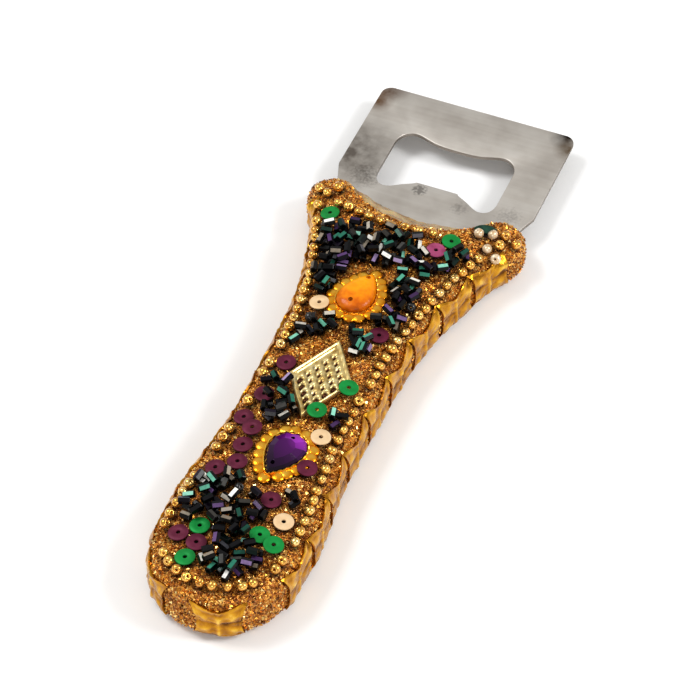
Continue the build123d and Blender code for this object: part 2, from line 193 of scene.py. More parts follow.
def finished(name, shape, finish, slot, *stands_for, crease=None):
    """Makes a piece of a bmesh, at rest in the frame, in place of the CAD nodes it stands for."""
    mesh = bpy.data.meshes.new(name)
    shape.to_mesh(mesh)
    shape.free()
    mesh.materials.append(finish)
    mesh.shade_smooth()
    if crease is not None:
        mesh.set_sharp_from_angle(angle=math.radians(crease))
    piece = bpy.data.objects.new(name, mesh)
    bpy.context.scene.collection.objects.link(piece)
    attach(piece, "root")
    if stands_for:
        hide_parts(*stands_for)
    return piece


plate_low, plate_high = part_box("opener_plate")
edge_break = 0.12 * mm

plate = cad_copy("opener_plate")
bmesh.ops.dissolve_limit(plate, angle_limit=math.radians(0.5), verts=plate.verts, edges=plate.edges)
rims = [e for e in plate.edges if len(e.link_faces) == 2 and e.calc_face_angle() > math.radians(60)]
bmesh.ops.bevel(plate, geom=rims, offset=edge_break, segments=2, profile=0.5, affect="EDGES", material=-1)
bmesh.ops.triangulate(plate, faces=[f for f in plate.faces if len(f.verts) > 4])

steel, tree, shader = new_finish("brushed_steel", Metallic=1.0, Roughness=0.42)
across = node(tree, "TexNoise", object_place(tree, (30, 900, 900)), None, 1.0, 4.0)
cloud = node(tree, "TexNoise", object_place(tree), None, 130.0, 3.0)
tone = ramp(tree, cloud, (0.32, linear(206, 199, 191)), (0.55, linear(224, 218, 210)),
            (0.75, linear(234, 229, 222)))
tone = blend(tree, 0.35, tone, ramp(tree, across, (0.3, (0.30, 0.28, 0.26)), (0.7, (0.75, 0.73, 0.70))), "SOFT_LIGHT")
place = object_place(tree)
warp = node(tree, "TexNoise", place, None, 420.0, 3.0)
for corner, reach, brown in (((plate_low.x + 0.6 * mm, plate_high.y - 0.4 * mm), 5.6 * mm, linear(104, 70, 42)),
                             ((plate_high.x - 1.2 * mm, plate_high.y - 0.2 * mm), 5.0 * mm, linear(36, 24, 16)),
                             ((plate_low.x, plate_high.y - 5.0 * mm), 4.2 * mm, linear(120, 88, 60)),
                             ((plate_high.x, plate_high.y - 4.0 * mm), 4.0 * mm, linear(112, 92, 68)),
                             ((plate_low.x, 53 * mm), 13 * mm, linear(118, 110, 102))):
    stain = near(tree, place, (*corner, plate_high.z), reach)
    stain = node(tree, "Math", node(tree, "Math", stain, warp, operation="MULTIPLY"), 1.9, operation="MULTIPLY",
                 use_clamp=True)
    tone = blend(tree, stain, tone, (*brown, 1))
soot = node(tree, "TexNoise", place, None, 1500.0, 4.0)
for spot, reach, depth in (((-3.2 * mm, 47.6 * mm), 3.4 * mm, 1.7), ((-15.5 * mm, 47.6 * mm), 8.0 * mm, 0.8),
                           ((17.0 * mm, 47.0 * mm), 6.0 * mm, 0.5), ((6.5 * mm, 45.6 * mm), 4.0 * mm, 0.5)):
    mark = node(tree, "Math", near(tree, place, (*spot, plate_high.z), reach), soot, operation="MULTIPLY")
    mark = ramp(tree, mark, (0.24, (0, 0, 0)), (0.24 + 0.26 / depth, (0.6, 0.6, 0.6)))
    tone = blend(tree, mark, tone, (*linear(70, 62, 56), 1))
# Faces turned away from straight up are painted darker: painted shade on the plate's edges.
facing = node(tree, "SeparateXYZ", node(tree, "NewGeometry", outlet=1), outlet=2)
painted_edge_shade = node(tree, "MapRange", facing, 0.3, 0.97, 0.75, 0.0)
tone = blend(tree, painted_edge_shade, tone, (*linear(96, 84, 72), 1))
tree.links.new(tone, shader.inputs["Base Color"])
relief(tree, shader, across, 0.012 * mm)
finished("steel_plate", plate, steel, "steel", "opener_plate", crease=40)


# Wooden core: a sawn blank that fills the coat. It is sealed in, and seen only in an exploded view.
wood, tree, shader = new_finish("sawn_wood", Roughness=0.75)
grain = node(tree, "TexNoise", object_place(tree, (900, 60, 900)), None, 1.0, 5.0)
tree.links.new(ramp(tree, grain, (0.3, linear(150, 112, 70)), (0.7, linear(196, 158, 110))),
               shader.inputs["Base Color"])
relief(tree, shader, grain, 0.05 * mm)
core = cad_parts["handle_core"]
core.data.materials.clear()
core.data.materials.append(wood)


# Lac coat: warm lac pressed round the core by hand, loaded with copper-gold glitter, so its skin is
# lumpy and its edges are soft. It is one closed skin, open only where the plate leaves it.
def reskinned(shape, voxel, rounds):
    """A closed shape rebuilt as an even skin of small faces, smoothed."""
    mesh = bpy.data.meshes.new("blank")
    shape.to_mesh(mesh)
    shape.free()
    blank = bpy.data.objects.new("blank", mesh)
    bpy.context.scene.collection.objects.link(blank)
    skin = blank.modifiers.new("skin", "REMESH")
    skin.mode = "VOXEL"
    skin.voxel_size = voxel
    soften = blank.modifiers.new("soften", "SMOOTH")
    soften.factor = 0.5
    soften.iterations = rounds
    graph = bpy.context.evaluated_depsgraph_get()
    made = bpy.data.meshes.new_from_object(blank.evaluated_get(graph))
    bpy.data.objects.remove(blank)
    even = bmesh.new()
    even.from_mesh(made)
    return even


def roughened(shape, *waves):
    """Moves each vertex along its normal by smooth noise, as (depth, wavelength) pairs."""
    shape.normal_update()
    for vert in shape.verts:
        rise = sum(depth * noise.noise(vert.co / length) for depth, length in waves)
        vert.co += vert.normal * rise


def solids(name):
    """The separate solids of a CAD node, each as (centre, axes from long to short, half sizes)."""
    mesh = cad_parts[name].data
    places = np.empty(len(mesh.vertices) * 3)
    mesh.vertices.foreach_get("co", places)
    spots, welded = np.unique(places.reshape(-1, 3).round(6), axis=0, return_inverse=True)
    corners = np.empty(len(mesh.loops), int)
    mesh.loops.foreach_get("vertex_index", corners)
    corners = welded.ravel()[corners].reshape(-1, 3)
    labels = np.arange(len(spots))
    while True:
        lowest = labels.copy()
        np.minimum.at(lowest, corners.ravel(), labels[corners].min(1).repeat(3))
        lowest = lowest[lowest]
        if (lowest == labels).all():
            break
        labels = lowest
    found = []
    for label in np.unique(labels):
        cloud = spots[labels == label]
        middle = cloud.mean(0)
        axes = np.linalg.svd(cloud - middle, full_matrices=False)[2]
        along = (cloud - middle) @ axes.T
        centre = middle + axes.T @ ((along.min(0) + along.max(0)) / 2)
        found.append((Vector(centre), [Vector(axis) for axis in axes], (along.max(0) - along.min(0)) / 2))
    return found


seed_nodes = ("right_rim_beads", "left_rim_beads", "throat_rim_beads", "butt_rim_beads", "horn_beads",
              "pearl_beads", "ring_seed_beads")
film_nodes = ("green_sequins", "plum_sequins", "cream_sequins", "magenta_sequin", "marquise_sequin")
cane_nodes = ("black_bugle_beads", "green_bugle_beads", "violet_bugle_beads", "silver_bugle_beads")
sheet_nodes = ("amber_gem_setting", "violet_gem_setting", "lozenge_plate", "right_butterflies",
               "left_butterflies", "butt_butterflies")
lying = {name: solids(name) for name in seed_nodes + film_nodes + cane_nodes}

# Glue gathers round everything pressed into the lac, and painted shade darkens the lac there too: how far the
# darkening spreads past its centre
glue_and_shade_reach = {seed_nodes: 2.15 * mm, film_nodes: 3.0 * mm, cane_nodes: 2.15 * mm}
bare_reach = {seed_nodes: 1.05 * mm, film_nodes: 1.95 * mm, cane_nodes: 1.30 * mm}
finders = {}
for group in glue_and_shade_reach:
    centres = [solid[0] for name in group for solid in lying[name]]
    finders[group] = KDTree(len(centres))
    for i, centre in enumerate(centres):
        finders[group].insert(centre, i)
    finders[group].balance()
sheets = bmesh.new()
for name in sheet_nodes:
    sheets.from_mesh(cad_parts[name].data)
sheet_tree = BVHTree.FromBMesh(sheets)
sheets.free()


def glue_and_shade(spot):
    """Darkness of the lac at a spot, 0 to 1: glue plus painted shade round beads, sequins, canes and foils."""
    worst = 0.0
    for group, reach in glue_and_shade_reach.items():
        away = finders[group].find(spot)[2]
        worst = max(worst, min(1.0, 2.2 * (1 - away / reach)))
    away = sheet_tree.find_nearest(spot)[3]
    return max(worst, 1 - away / (0.8 * mm))


def bare(spot):
    """True where something lies on the lac, so that no flake shows."""
    if any(finders[group].find(spot)[2] < reach for group, reach in bare_reach.items()):
        return True
    return sheet_tree.find_nearest(spot)[3] < 0.3 * mm


def add_glue_and_shade(shape):
    """Gives each vertex its darkness of glue and painted shade."""
    layer = shape.verts.layers.float.new("glue_and_shade")
    for vert in shape.verts:
        vert[layer] = glue_and_shade(vert.co)


skin_gap = 0.7 * mm
skin_inset = 0.45 * mm
butt_wear_y = -58 * mm
butt_wear = 0.2 * mm
horn_wear_y = 36.5 * mm
horn_wear = 0.22
coat = cad_copy("lac_coat")
core_tree = BVHTree.FromBMesh(cad_copy("handle_core"))
inner_faces = [f for f in coat.faces if core_tree.find_nearest(f.calc_center_median())[3] < skin_gap]
bmesh.ops.delete(coat, geom=inner_faces, context="FACES")
bmesh.ops.holes_fill(coat, edges=[e for e in coat.edges if e.is_boundary])
coat = reskinned(coat, 0.5 * mm, 8)
coat.normal_update()
for vert in coat.verts:
    worn = min(1, max(0, (butt_wear_y - vert.co.y) / (10 * mm)))
    vert.co -= vert.normal * (skin_inset + butt_wear * worn)
for vert in coat.verts:
    if vert.co.x < -12 * mm and vert.co.y > horn_wear_y:
        vert.co.y -= (vert.co.y - horn_wear_y) * horn_wear
roughened(coat, (0.22 * mm, 9 * mm), (0.15 * mm, 3 * mm))
for vert in coat.verts:
    vert.co.z = max(vert.co.z, 0)
coat.normal_update()
coat_tree = BVHTree.FromBMesh(coat)
coat_ground = coat.copy()
add_glue_and_shade(coat)

lac, tree, shader = new_finish("glitter_lac", Metallic=0.6, Roughness=0.30)
flake = tree.nodes.new("ShaderNodeTexVoronoi")
flake.inputs["Scale"].default_value = 2600
tree.links.new(object_place(tree), flake.inputs["Vector"])
shade = node(tree, "SeparateColor", flake.outputs["Color"])
tone = ramp(tree, shade, (0.0, linear(92, 44, 12)), (0.35, linear(156, 88, 26)),
            (0.7, linear(212, 136, 44)), (1.0, linear(250, 192, 92)))
# Darker brown near anything pressed in: glue plus painted shade.
glue_and_shade_mask = node(tree, "Attribute", outlet=2, attribute_name="glue_and_shade")
tree.links.new(blend(tree, glue_and_shade_mask, tone, (*linear(26, 13, 8), 1)), shader.inputs["Base Color"])
relief(tree, shader, flake.outputs["Distance"], 0.25 * mm)
finished("lac_skin", coat, lac, "glitter_lac", "lac_coat")


# Glitter: cut flakes of metallised film that stand in the lac at every angle, thick on the top and
# the sides and thinner on the flat back. None shows where a bead or a foil covers the lac.
def flake_blank(size):
    """One flake, four facets."""
    flake_bm = bmesh.new()
    bmesh.ops.create_cone(flake_bm, cap_ends=True, segments=3, radius1=size, radius2=0, depth=size)
    mesh = bpy.data.meshes.new("flake")
    flake_bm.to_mesh(mesh)
    flake_bm.free()
    blank = bpy.data.objects.new("flake", mesh)
    bpy.context.scene.collection.objects.link(blank)
    return blank


def strewn(ground, grain, spacing, seed, sizes):
    """Grains scattered over a ground's faces and turned every way, as one bmesh."""
    mesh = bpy.data.meshes.new("ground")
    ground.to_mesh(mesh)
    ground.free()
    bed = bpy.data.objects.new("ground", mesh)
    bpy.context.scene.collection.objects.link(bed)
    group = bpy.data.node_groups.new("strew", "GeometryNodeTree")
    group.interface.new_socket("Ground", in_out="INPUT", socket_type="NodeSocketGeometry")
    group.interface.new_socket("Grains", in_out="OUTPUT", socket_type="NodeSocketGeometry")
    start = group.nodes.new("NodeGroupInput")
    end = group.nodes.new("NodeGroupOutput")
    points = group.nodes.new("GeometryNodeDistributePointsOnFaces")
    points.distribute_method = "POISSON"
    points.inputs["Distance Min"].default_value = spacing
    points.inputs["Density Max"].default_value = 1.6 / spacing ** 2
    points.inputs["Seed"].default_value = seed
    turn = group.nodes.new("FunctionNodeRandomValue")
    turn.data_type = "FLOAT_VECTOR"
    turn.inputs[1].default_value = (math.tau, math.tau, math.tau)
    size = group.nodes.new("FunctionNodeRandomValue")
    size.inputs[2].default_value, size.inputs[3].default_value = sizes
    source = group.nodes.new("GeometryNodeObjectInfo")
    source.inputs["Object"].default_value = grain
    copies = group.nodes.new("GeometryNodeInstanceOnPoints")
    solid = group.nodes.new("GeometryNodeRealizeInstances")
    group.links.new(start.outputs[0], points.inputs["Mesh"])
    group.links.new(points.outputs["Points"], copies.inputs["Points"])
    group.links.new(source.outputs["Geometry"], copies.inputs["Instance"])
    group.links.new(turn.outputs[0], copies.inputs["Rotation"])
    group.links.new(size.outputs[1], copies.inputs["Scale"])
    group.links.new(copies.outputs[0], solid.inputs[0])
    group.links.new(solid.outputs[0], end.inputs[0])
    bed.modifiers.new("strew", "NODES").node_group = group
    graph = bpy.context.evaluated_depsgraph_get()
    made = bpy.data.meshes.new_from_object(bed.evaluated_get(graph))
    bpy.data.objects.remove(bed)
    grains = bmesh.new()
    grains.from_mesh(made)
    return grains


def part_of(shape, keep):
    """The faces of a shape that a test keeps."""
    piece = shape.copy()
    bmesh.ops.delete(piece, geom=[f for f in piece.faces if not keep(f)], context="FACES")
    return piece


glitter, tree, shader = new_finish("glitter", Metallic=0.85, Roughness=0.25)
chance = node(tree, "NewGeometry", outlet=8)
tone = ramp(tree, chance, (0.0, linear(76, 38, 8)), (0.3, linear(172, 102, 28)),
            (0.65, linear(236, 162, 56)), (1.0, linear(255, 226, 146)))
# Flakes darker near anything pressed in: glue plus painted shade.
glue_and_shade_mask = node(tree, "Attribute", outlet=2, attribute_name="glue_and_shade")
tree.links.new(blend(tree, node(tree, "Math", glue_and_shade_mask, 0.85, operation="MULTIPLY"), tone, (*linear(48, 20, 8), 1)),
               shader.inputs["Base Color"])
flake_object = flake_blank(0.34 * mm)
for name, spacing, seed, keep in (
        ("top_glitter", 0.38 * mm, 3, lambda f: f.normal.z > 0.5 and not bare(f.calc_center_median())),
        ("side_glitter", 0.42 * mm, 4, lambda f: -0.6 < f.normal.z <= 0.5 and not bare(f.calc_center_median())),
        ("back_glitter", 0.52 * mm, 5, lambda f: f.normal.z <= -0.6)):
    grains = strewn(part_of(coat_ground, keep), flake_object, spacing, seed, (0.7, 1.3))
    for vert in grains.verts:
        vert.co.z = max(vert.co.z, 0)
    add_glue_and_shade(grains)
    finished(name, grains, glitter, "glitter_lac", crease=20)
coat_ground.free()
bpy.data.objects.remove(flake_object)


# Cement: ochre resin that beds the tang. It wells out of the handle's mouth and sets as an uneven
# fillet on the steel, glassy and full of bubbles.
cement_cut_y = 29 * mm
cement_swell = 0.4 * mm
cement = cad_copy("tang_cement")
bmesh.ops.bisect_plane(cement, geom=cement.verts[:] + cement.edges[:] + cement.faces[:],
                       plane_co=(0, cement_cut_y, 0), plane_no=(0, 1, 0), clear_inner=True)
bmesh.ops.holes_fill(cement, edges=[e for e in cement.edges if e.is_boundary])
cement = reskinned(cement, 0.28 * mm, 6)
cement.normal_update()
for vert in cement.verts:
    vert.co += vert.normal * cement_swell
roughened(cement, (0.6 * mm, 5 * mm), (0.3 * mm, 1.6 * mm))

resin, tree, shader = new_finish("ochre_resin", Roughness=0.22, Subsurface_Weight=0.2, Subsurface_Scale=1.0 * mm,
                                 Coat_Weight=0.4)
cloud = node(tree, "TexNoise", object_place(tree), None, 320.0, 5.0)
tree.links.new(ramp(tree, cloud, (0.3, linear(104, 72, 30)), (0.5, linear(160, 124, 70)),
                    (0.7, linear(186, 158, 104))), shader.inputs["Base Color"])
relief(tree, shader, node(tree, "TexNoise", object_place(tree), None, 900.0, 4.0), 0.2 * mm)
finished("throat_fillet", cement, resin, "cement", "tang_cement")


# Rim beads: gold-lined seed beads pressed into the soft lac in one row round the top, holes up.
def upward(axis):
    """The same axis, pointing up."""
    return axis if axis.z > 0 else -axis


def pose(centre, z_axis, x_axis):
    """A placing matrix from a centre and two axes."""
    z_axis = z_axis.normalized()
    y_axis = z_axis.cross(x_axis).normalized()
    placed = Matrix((y_axis.cross(z_axis), y_axis, z_axis)).transposed().to_4x4()
    placed.translation = centre
    return placed


def turned(profile, steps):
    """A ring turned about Z from a closed profile of (radius, height) in millimetres."""
    ring = bmesh.new()
    verts = [ring.verts.new((radius * mm, 0, height * mm)) for radius, height in profile]
    edges = [ring.edges.new(pair) for pair in zip(verts, verts[1:] + verts[:1])]
    bmesh.ops.spin(ring, geom=verts + edges, cent=(0, 0, 0), axis=(0, 0, 1), angle=math.tau, steps=steps,
                   use_merge=True)
    bmesh.ops.remove_doubles(ring, verts=ring.verts, dist=0.001 * mm)
    bmesh.ops.recalc_face_normals(ring, faces=ring.faces)
    mesh = bpy.data.meshes.new("turned")
    ring.to_mesh(mesh)
    ring.free()
    return mesh


def laid(template, places):
    """Copies of one mesh at each place, as one bmesh."""
    group = bmesh.new()
    for spot in places:
        copy = template.copy()
        copy.transform(spot)
        group.from_mesh(copy)
        bpy.data.meshes.remove(copy)
    return group


bead_sink = 0.18 * mm
bead_lean = 0.35
bead_profile = ((0.20, 0.40), (0.34, 0.70), (0.66, 0.66), (0.94, 0.38), (1.06, 0.0), (0.94, -0.38),
                (0.66, -0.66), (0.34, -0.70), (0.20, -0.40))
bead_template = turned(bead_profile, 9)


def bead_places(name, hands):
    """Where a node's beads lie once pressed in, each leaning and sized a little differently."""
    places = []
    for centre, axes, sizes in lying[name]:
        stand = upward(axes[2])
        lean = Vector((hands.gauss(0, bead_lean), hands.gauss(0, bead_lean), 1)).normalized()
        size = hands.uniform(0.95, 1.10)
        places.append(pose(centre - stand * bead_sink, stand + lean * 0.9, Vector((1, 0, 0)))
                      @ Matrix.Diagonal((size, size, size * hands.uniform(0.95, 1.2), 1)))
    return places


gold_glass, tree, shader = new_finish("gold_lined_glass", Metallic=0.9, Roughness=0.22, Coat_Weight=0.5)
chance = node(tree, "NewGeometry", outlet=8)
tone = ramp(tree, chance, (0.0, linear(222, 156, 58)), (0.6, linear(244, 190, 86)), (1.0, linear(252, 216, 134)))
cloud = node(tree, "TexNoise", object_place(tree), None, 800.0, 1.0)
cloud = ramp(tree, cloud, (0.48, (0, 0, 0)), (0.72, (0.5, 0.5, 0.5)))
tree.links.new(blend(tree, cloud, tone, (*linear(168, 96, 30), 1)), shader.inputs["Base Color"])
for order, name in enumerate(seed_nodes[:5]):
    beads = laid(bead_template, bead_places(name, random.Random(40 + order)))
    finished(name.replace("beads", "seeds"), beads, gold_glass, "gold_glass", name)

# Pearl beads: a few paler seed beads mixed into the row at the right shoulder.
pearl, tree, shader = new_finish("pearl_glass", Roughness=0.25, Coat_Weight=1.0, Metallic=0.25)
cloud = node(tree, "TexNoise", object_place(tree), None, 900.0, 2.0)
tree.links.new(ramp(tree, cloud, (0.3, linear(196, 156, 104)), (0.7, linear(244, 226, 196))),
               shader.inputs["Base Color"])
finished("pearl_seeds", laid(bead_template, bead_places("pearl_beads", random.Random(46))), pearl,
         "pearl_glass", "pearl_beads")


# Sequins: punched film discs with a sewing hole, satin-faced, stuck flat or lapped over each other.
sequin_profile = ((0.44, 0.13), (0.80, 0.13), (0.88, 0.16), (1.72, 0.16), (1.80, 0.13), (1.96, 0.12),
                  (2.0, 0.05), (2.0, -0.05), (1.92, -0.12), (0.44, -0.12))
sequin_template = turned(sequin_profile, 26)


def film(name, colour, sheen):
    """Satin sequin film with a faint grain and a lighter tone in patches."""
    finish, tree, shader = new_finish(name, Roughness=0.45, Metallic=0.3, Specular_IOR_Level=0.25)
    cloud = node(tree, "TexNoise", object_place(tree), None, 500.0, 3.0)
    tree.links.new(ramp(tree, cloud, (0.35, linear(*colour)), (0.75, linear(*sheen))), shader.inputs["Base Color"])
    relief(tree, shader, node(tree, "TexNoise", object_place(tree), None, 4000.0, 2.0), 0.02 * mm)
    return finish


for name, slot, colour, sheen in (("green_sequins", "green_film", (6, 124, 50), (16, 146, 64)),
                                  ("plum_sequins", "plum_film", (80, 16, 40), (104, 32, 58)),
                                  ("cream_sequins", "cream_film", (226, 190, 144), (242, 212, 170)),
                                  ("magenta_sequin", "magenta_film", (150, 56, 96), (184, 86, 130))):
    places = [pose(centre + upward(axes[2]) * 0.05 * mm, upward(axes[2]), Vector((1, 0, 0)))
              for centre, axes, sizes in lying[name]]
    finished(name.replace("sequin", "film_disc"), laid(sequin_template, places), film(slot, colour, sheen), slot,
             name, crease=35)

# Marquise sequin: a pointed leaf of dark green film, lying over the handle's mouth.
finished("film_leaf", cad_copy("marquise_sequin"), film("dark_green_film", (12, 38, 30), (36, 80, 62)),
         "dark_green_film", "marquise_sequin", crease=35)


# Bugle beads: short cuts of six-sided glass cane, bored through. One facet of each, the one turned most towards the
# light, gets a painted highlight in mint, lilac or silver for the lining's glint, and the glass round it looks almost
# black.
tube_half = 1.15
tube_profile = ((0.34, tube_half), (0.66, tube_half), (0.77, tube_half - 0.12), (0.77, 0.12 - tube_half),
                (0.66, -tube_half), (0.34, -tube_half))
tube_template = turned(tube_profile, 6)
facet_area = 1.0 * mm ** 2


def cane(name, body, *glint_colours):
    """Dark glass with one facet given a painted highlight, in a colour that changes from bead to bead."""
    finish, tree, shader = new_finish(name, Roughness=0.22, Specular_IOR_Level=0.15)
    chance = node(tree, "NewGeometry", outlet=8)
    glint_colour = ramp(tree, chance, *[(i / (len(glint_colours) - 1), linear(*painted_glint)) for i, painted_glint in enumerate(glint_colours)])
    glint_mask = node(tree, "Attribute", outlet=2, attribute_name="painted_glint")
    streak = node(tree, "TexNoise", object_place(tree), None, 1500.0, 2.0)
    glint_mask = node(tree, "Math", glint_mask, node(tree, "Math", streak, 0.5, operation="ADD"), operation="MULTIPLY",
                 use_clamp=True)
    tree.links.new(blend(tree, glint_mask, (*linear(*body), 1), glint_colour), shader.inputs["Base Color"])
    return finish


for order, (name, slot, glint_chance, body, glint_colours) in enumerate((
        ("black_bugle_beads", "black_glass", 0.2, (3, 3, 4), ((52, 54, 60), (84, 80, 86))),
        ("green_bugle_beads", "green_glass", 0.7, (3, 9, 8),
         ((16, 50, 42), (24, 72, 58), (44, 118, 96), (84, 164, 136), (150, 220, 196))),
        ("violet_bugle_beads", "violet_glass", 0.65, (8, 5, 12),
         ((50, 32, 62), (84, 56, 104), (112, 84, 132), (168, 148, 188))),
        ("silver_bugle_beads", "silver_glass", 0.7, (9, 8, 7),
         ((104, 92, 78), (164, 152, 134), (232, 228, 216), (255, 255, 250))))):
    hands = random.Random(60 + order)
    places = []
    for centre, axes, sizes in lying[name]:
        stand = upward(axes[0].cross(Vector((0, 0, 1))).cross(axes[0]))
        lie = (axes[0] + stand * hands.gauss(0, 0.12)).normalized()
        spin = Matrix.Rotation(hands.uniform(0, math.tau), 4, "Z")
        places.append(pose(centre + stand * hands.uniform(-0.15, 0.15) * mm, lie, stand) @ spin)
    canes = laid(tube_template, places)
    canes.normal_update()
    canes.faces.ensure_lookup_table()
    glint_layer = canes.faces.layers.float.new("painted_glint")
    per_cane = len(canes.faces) // len(places)
    for first in range(0, len(canes.faces), per_cane):
        # The facet turned most towards a direction between the light and the camera gets the painted highlight.
        glint_towards = Vector((hands.gauss(0.05, 0.3), hands.gauss(-0.25, 0.3), 1))
        facets = [f for f in canes.faces[first:first + per_cane] if f.calc_area() > facet_area]
        facing = max(facets, key=lambda f: f.normal.dot(glint_towards))
        facing[glint_layer] = hands.uniform(0.75, 1.1) if hands.random() < glint_chance else 0.05
    finished(name.replace("bugle_beads", "canes"), canes, cane(slot, body, *glint_colours), slot, name, crease=25)

# Ring beads: black seed beads that fell among the canes.
finished("ring_seeds", laid(bead_template, bead_places("ring_seed_beads", random.Random(70))),
         bpy.data.materials["black_glass"], "black_glass", "ring_seed_beads")


# Glass drops: two pear-shaped stones drilled at both ends for sewing, backed with foil. The amber
# one is a smooth cabochon with a flat girdle.
def pear(width, length, count):
    """Points of a pear outline, its point towards +Y, centred on its length."""
    points = []
    for i in range(count):
        turn = math.tau * i / count
        fade = abs(math.sin(turn / 2)) ** 0.8
        points.append(Vector((width / 2 * math.sin(turn) * fade * 1.26, length / 2 * math.cos(turn), 0)))
    return points


def grown(outline, margin):
    """An outline moved outwards by a margin."""
    moved = []
    for before, spot, after in zip(outline[-1:] + outline[:-1], outline, outline[1:] + outline[:1]):
        along = (after - before).normalized()
        moved.append(spot + Vector((-along.y, along.x, 0)) * margin)
    return moved


def stepped(outline, levels):
    """A solid raised from an outline through (scale, height) levels and closed at both ends."""
    shape = bmesh.new()
    ring = [shape.verts.new((p.x * levels[0][0], p.y * levels[0][0], levels[0][1])) for p in outline]
    edges = [shape.edges.new(pair) for pair in zip(ring, ring[1:] + ring[:1])]
    shape.faces.new(ring)
    for (scale, height), (before, under) in zip(levels[1:], levels):
        raised = bmesh.ops.extrude_edge_only(shape, edges=edges)["geom"]
        verts = [v for v in raised if isinstance(v, bmesh.types.BMVert)]
        edges = [e for e in raised if isinstance(e, bmesh.types.BMEdge)]
        bmesh.ops.scale(shape, vec=(scale / before, scale / before, 1), verts=verts)
        bmesh.ops.translate(shape, vec=(0, 0, height - under), verts=verts)
    bmesh.ops.holes_fill(shape, edges=edges)
    bmesh.ops.recalc_face_normals(shape, faces=shape.faces)
    return shape


def drilled(shape, spots, radius):
    """A shape with upright holes through it."""
    mesh = bpy.data.meshes.new("drilled")
    bmesh.ops.triangulate(shape, faces=[f for f in shape.faces if len(f.verts) > 4])
    shape.to_mesh(mesh)
    shape.free()
    blank = bpy.data.objects.new("drilled", mesh)
    drill_bm = bmesh.new()
    for x, y in spots:
        bmesh.ops.create_cone(drill_bm, cap_ends=True, segments=14, radius1=radius, radius2=radius,
                              depth=12 * mm, matrix=Matrix.Translation((x, y, 0)))
    drill_mesh = bpy.data.meshes.new("drill")
    drill_bm.to_mesh(drill_mesh)
    drill_bm.free()
    drill = bpy.data.objects.new("drill", drill_mesh)
    for thing in (blank, drill):
        bpy.context.scene.collection.objects.link(thing)
    cut = blank.modifiers.new("cut", "BOOLEAN")
    cut.operation = "DIFFERENCE"
    cut.solver = "EXACT"
    cut.object = drill
    graph = bpy.context.evaluated_depsgraph_get()
    made = bpy.data.meshes.new_from_object(blank.evaluated_get(graph))
    bpy.data.objects.remove(blank)
    bpy.data.objects.remove(drill)
    opened = bmesh.new()
    opened.from_mesh(made)
    return opened


def drop_place(name):
    """Placing matrix of a stone's foot, with local +Y towards its point, and its half sizes."""
    centre, axes, sizes = solids(name)[0]
    places = [v.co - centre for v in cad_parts[name].data.vertices]
    spreads = [max(abs(p.dot(axes[1])) for p in places if p.dot(axes[0]) * way > 0.7 * sizes[0]) for way in (1, -1)]
    point = axes[0] if spreads[0] < spreads[1] else -axes[0]
    stand = upward(axes[2])
    return pose(centre - stand * sizes[2], stand, point.cross(stand)), sizes


hole_inset = 2.0 * mm
hole_radius = 0.42 * mm
amber_place, amber_size = drop_place("amber_gem")
amber_outline = pear(2 * amber_size[1], 2 * amber_size[0], 60)
amber_girdle = 0.55 * mm
amber_levels = [(0.97, 0.0), (1.0, amber_girdle)]
amber_levels += [(math.cos(t) ** 0.62, amber_girdle + (2.1 * mm - amber_girdle) * math.sin(t))
                 for t in (0.18, 0.36, 0.54, 0.72, 0.9, 1.08, 1.25, 1.4)]
amber_holes = [(0, amber_size[0] - hole_inset), (0, hole_inset - amber_size[0])]
amber = drilled(stepped(amber_outline, amber_levels), amber_holes, hole_radius)
amber.transform(amber_place)

amber_glass, tree, shader = new_finish("amber_glass", Roughness=0.24, Specular_IOR_Level=0.2)
place = object_place(tree)
# Painted light and shade: the amber is lighter round a lit spot on one side and darker away from it, with cloudy tone
# on top.
lit = amber_place @ Vector((-amber_size[1] * 0.7, amber_size[0] * 0.5, 2 * mm))
span = node(tree, "VectorMath", place, tuple(lit), outlet=1, operation="DISTANCE")
cloud = node(tree, "TexNoise", place, None, 700.0, 4.0)
fade = node(tree, "Math", node(tree, "MapRange", span, 0.0, 11.5 * mm, 0.0, 0.8),
            node(tree, "MapRange", cloud, 0.3, 0.7, 0.0, 0.2), operation="ADD")
tone = ramp(tree, fade, (0.1, linear(252, 168, 12)), (0.42, linear(238, 136, 4)),
            (0.66, linear(198, 90, 0)), (0.9, linear(116, 44, 0)))
# Each sewing hole is painted dark brown round its mouth: painted shade in the hole.
for x, y in amber_holes:
    rim = near(tree, place, tuple(amber_place @ Vector((x, y, 1.9 * mm))), 0.75 * mm)
    tone = blend(tree, ramp(tree, rim, (0.25, (0, 0, 0)), (0.45, (1, 1, 1))), tone, (*linear(96, 40, 12), 1))
tree.links.new(tone, shader.inputs["Base Color"])
relief(tree, shader, cloud, 0.12 * mm)
finished("amber_cabochon", amber, amber_glass, "amber_glass", "amber_gem", crease=50)

# Violet drop: the second stone, cut with a table and broad bevels. One bevel flashes bright and the
# ones turned away from the light look black.
violet_place, violet_size = drop_place("violet_gem")
violet_outline = pear(2 * violet_size[1], 2 * violet_size[0], 12)
violet_holes = [(0, violet_size[0] - hole_inset), (0, hole_inset - violet_size[0])]
violet = drilled(stepped(violet_outline, [(0.95, 0.0), (1.0, 0.4 * mm), (0.88, 1.0 * mm), (0.52, 1.8 * mm)]),
                 violet_holes, hole_radius)
violet.transform(violet_place)
violet.normal_update()
# Bevels turned towards the light get a painted flash of highlight, and the rest stay near black.
flash_towards = Vector((0.1, 0.85, 0.5)).normalized()
flash = violet.faces.layers.float.new("flash")
for face in violet.faces:
    face[flash] = min(1, max(0, 0.55 + 0.9 * (face.normal.dot(flash_towards) - 0.35)))

violet_glass, tree, shader = new_finish("violet_crystal", Roughness=0.1, Specular_IOR_Level=0.2)
place = object_place(tree)
